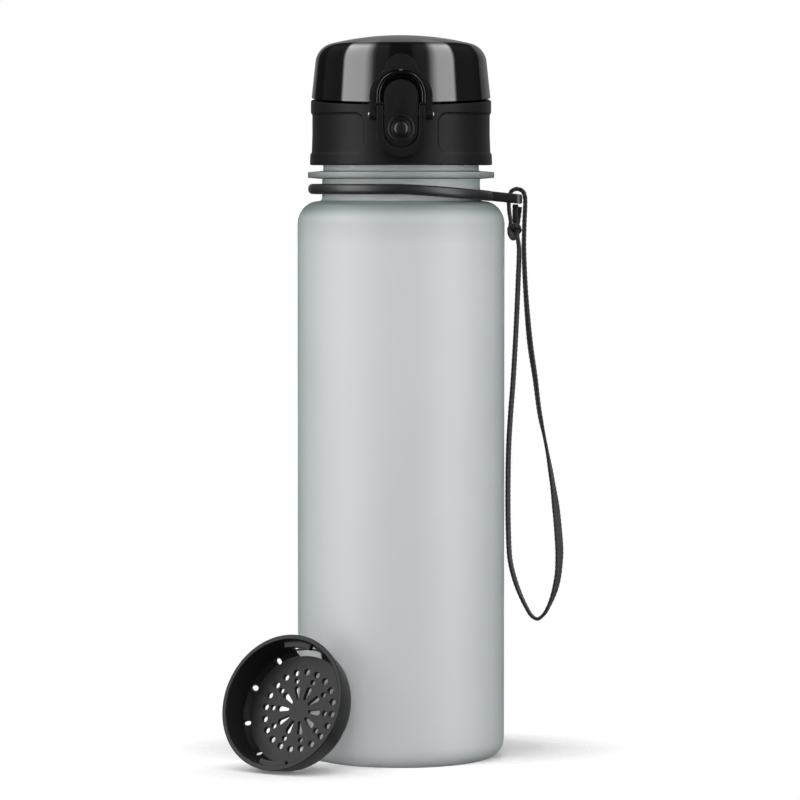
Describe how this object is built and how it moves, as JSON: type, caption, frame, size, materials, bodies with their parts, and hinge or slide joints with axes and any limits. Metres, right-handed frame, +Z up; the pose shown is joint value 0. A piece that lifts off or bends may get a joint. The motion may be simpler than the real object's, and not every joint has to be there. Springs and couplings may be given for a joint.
{
  "type": "infuser water bottle",
  "caption": "Frosted water bottle with a screw cap, flip lid, latch and lock ring, carry band with wrist strap, and a loose perforated infuser strainer.",
  "frame": {"origin": "centre of the bottle's flat base, on the bottle's axis, at the surface it stands on", "axes": "+Z up along the bottle's axis; -Y is the front, where the latch is; +X is the side of the wrist strap"},
  "size_m": [0.1076, 0.0818, 0.2307],
  "materials": {
    "frosted_bottle": "frosted translucent",
    "black_silicone": "matte",
    "black_lace": "braided",
    "satin_black_strainer": "satin",
    "grey_silicone": "matte",
    "dark_grey_inner": "satin",
    "satin_black_collar": "satin",
    "steel": "polished",
    "gloss_black_lid": "gloss",
    "matte_black_latch": "matte"
  },
  "bodies": {
    "bottle": {"bottle": "frosted_bottle"},
    "band": {"carry_band": "black_silicone"},
    "strap": {"wrist_strap": "black_lace", "strap_knot": "black_lace"},
    "strainer": {"strainer": "satin_black_strainer"},
    "seal": {"neck_seal": "grey_silicone"},
    "cap": {"inner_cap": "dark_grey_inner", "collar": "satin_black_collar", "latch_pin": "steel", "lid_hinge_pin": "steel", "lid_spring": "steel", "latch_spring": "steel"},
    "lid": {"lid_cover": "gloss_black_lid", "lid_liner": "dark_grey_inner", "spout_seal": "grey_silicone"},
    "latch": {"latch": "matte_black_latch", "button_dome": "gloss_black_lid"},
    "lock_ring": {"lock_ring": "matte_black_latch"}
  },
  "joints": [
    {"name": "band_turn", "type": "hinge", "parent": "bottle", "child": "band", "pos_m": [0, 0, 0.182], "axis": [0, 0, 1], "continuous": true},
    {"name": "strap_swing", "type": "hinge", "parent": "band", "child": "strap", "pos_m": [0.03705, 0, 0.17892], "axis": [0, -1, 0], "range_deg": [0, 90]},
    {"name": "strainer_lift", "type": "slide", "parent": "bottle", "child": "strainer", "axis": [0, 0, 1], "range_m": [0, 0.1]},
    {"name": "cap_rise", "type": "slide", "parent": "bottle", "child": "seal", "axis": [0, 0, 1], "range_m": [0, 0.024]},
    {"name": "cap_turn", "type": "hinge", "parent": "seal", "child": "cap", "pos_m": [0, 0, 0.2], "axis": [0, 0, 1], "range_deg": [0, 721]},
    {"name": "lid_open", "type": "hinge", "parent": "cap", "child": "lid", "pos_m": [0, 0.029, 0.2122], "axis": [-1, 0, 0], "range_deg": [0, 135], "deforming": ["lid_spring"]},
    {"name": "latch_press", "type": "hinge", "parent": "cap", "child": "latch", "pos_m": [0, -0.0295, 0.2051], "axis": [1, 0, 0], "range_deg": [0, 7], "stiffness_Nm_per_rad": 0.15, "springref_deg": -2.86, "deforming": ["latch_spring"]},
    {"name": "lock_ring_swing", "type": "hinge", "parent": "cap", "child": "lock_ring", "pos_m": [0, -0.0295, 0.2051], "axis": [1, 0, 0], "range_deg": [0, 165]}
  ],
  "couplings": [
    {"joint": "cap_turn", "follows": "cap_rise", "rad_per_m": 523.6}
  ]
}
